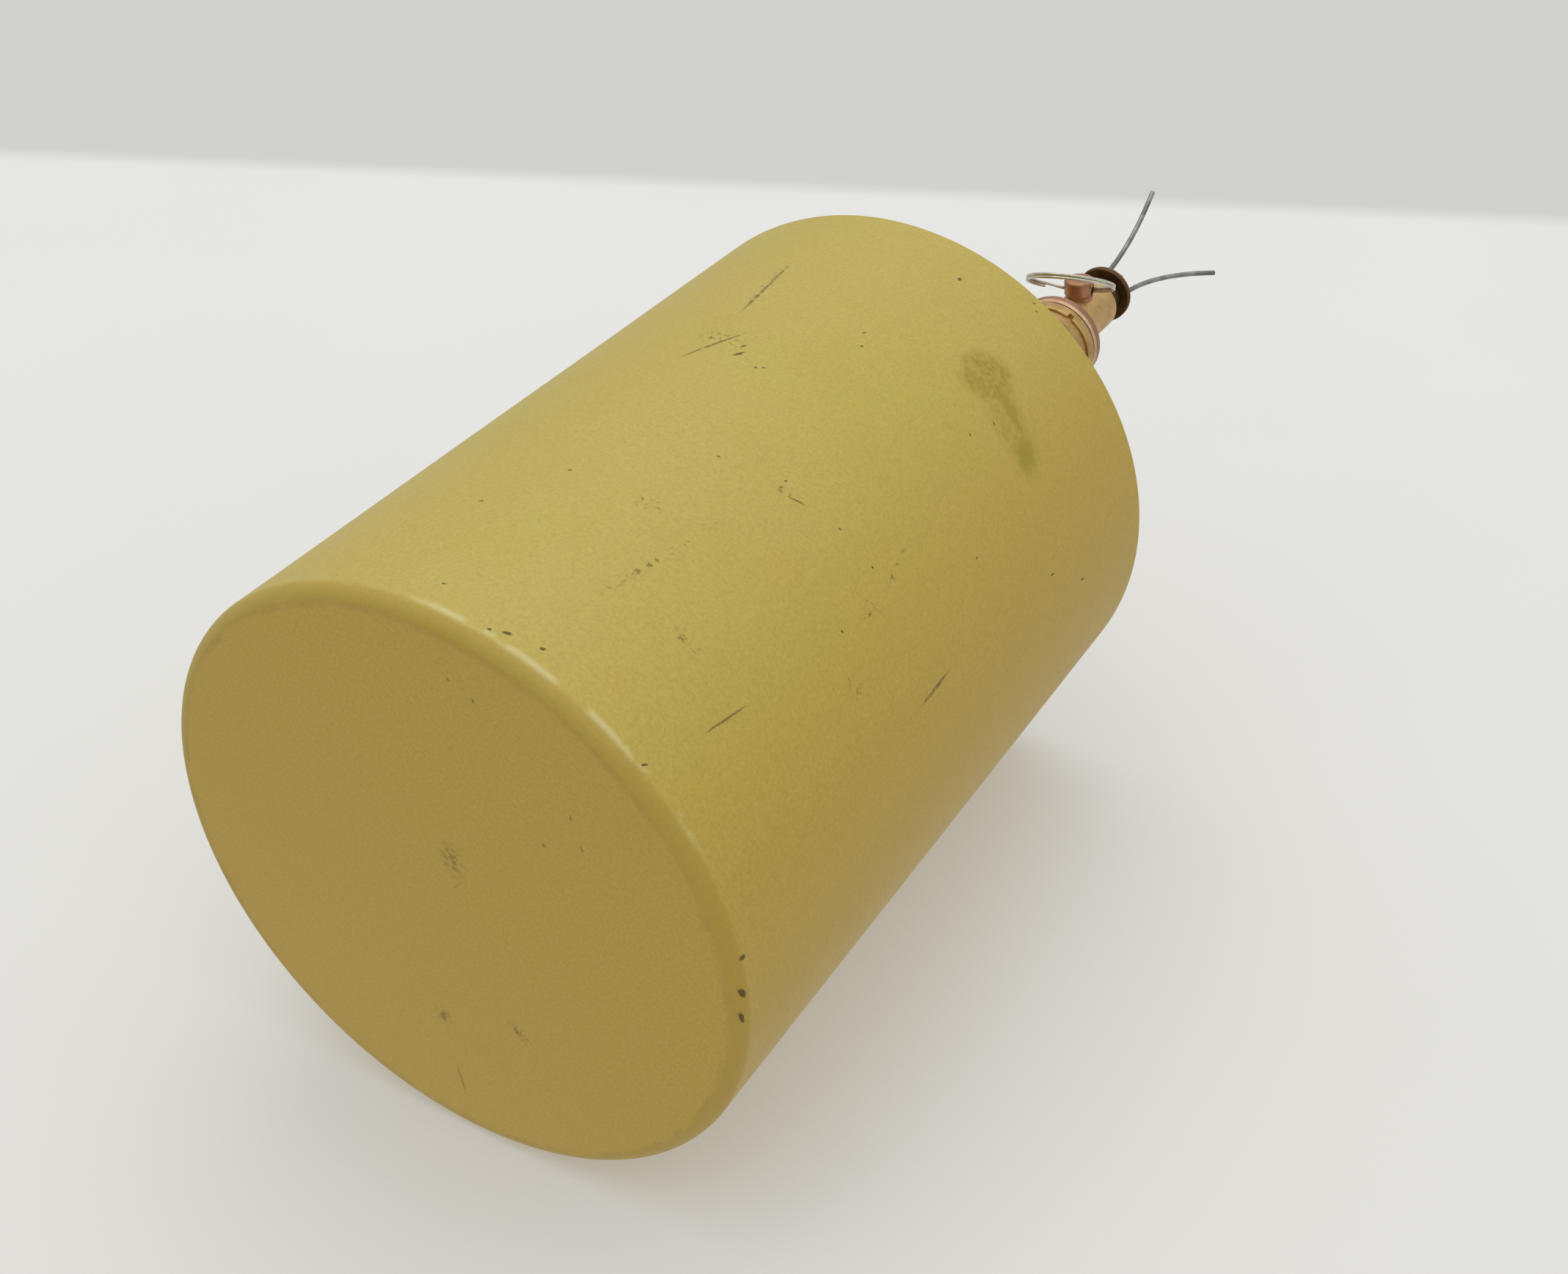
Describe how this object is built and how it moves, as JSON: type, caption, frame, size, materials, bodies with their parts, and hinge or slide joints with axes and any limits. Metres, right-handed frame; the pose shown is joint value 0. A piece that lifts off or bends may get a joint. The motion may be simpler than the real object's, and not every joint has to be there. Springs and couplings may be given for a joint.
{
  "type": "inert display canister",
  "caption": "Empty painted sheet-metal can with an off-centre turned brass fitting that carries a swinging split ring and bent wire prongs; an inert display replica.",
  "frame": {"origin": "centre of the can's flat base", "axes": "+Z along the can's axis from its base to its top, -Y towards the off-centre fitting"},
  "size_m": [0.102, 0.102, 0.2039],
  "materials": {
    "painted_steel": "satin",
    "solder": "satin",
    "brass": "satin",
    "copper": "satin",
    "dark_bronze": "satin",
    "steel": "satin",
    "wire_steel": "satin",
    "bright_wire": "satin",
    "fibre": "matte",
    "black_rubber": "matte"
  },
  "bodies": {
    "canister": {"can_shell": "painted_steel", "top_plate": "painted_steel", "top_solder": "solder", "neck_bush": "brass", "bush_seal": "fibre", "inner_washer": "steel", "inner_nut": "brass", "neck_column": "brass", "lock_ring": "brass", "joint_gasket": "black_rubber"},
    "fitting_head": {"collar_ring": "copper", "barrel": "brass", "waist_spindle": "dark_bronze", "head_disc": "copper", "prong_a": "wire_steel", "prong_b": "wire_steel", "prong_c": "wire_steel", "ring_stud": "copper"},
    "ring": {"pull_ring": "bright_wire"}
  },
  "joints": [
    {"name": "head_turn", "type": "hinge", "parent": "canister", "child": "fitting_head", "pos_m": [0, -0.035, 0.158], "axis": [0, 0, 1], "range_deg": [0, 270]},
    {"name": "ring_swing", "type": "hinge", "parent": "fitting_head", "child": "ring", "pos_m": [-0.00442, -0.03898, 0.167], "axis": [0.659, -0.7318, 0.1736], "range_deg": [-145, 16]}
  ]
}
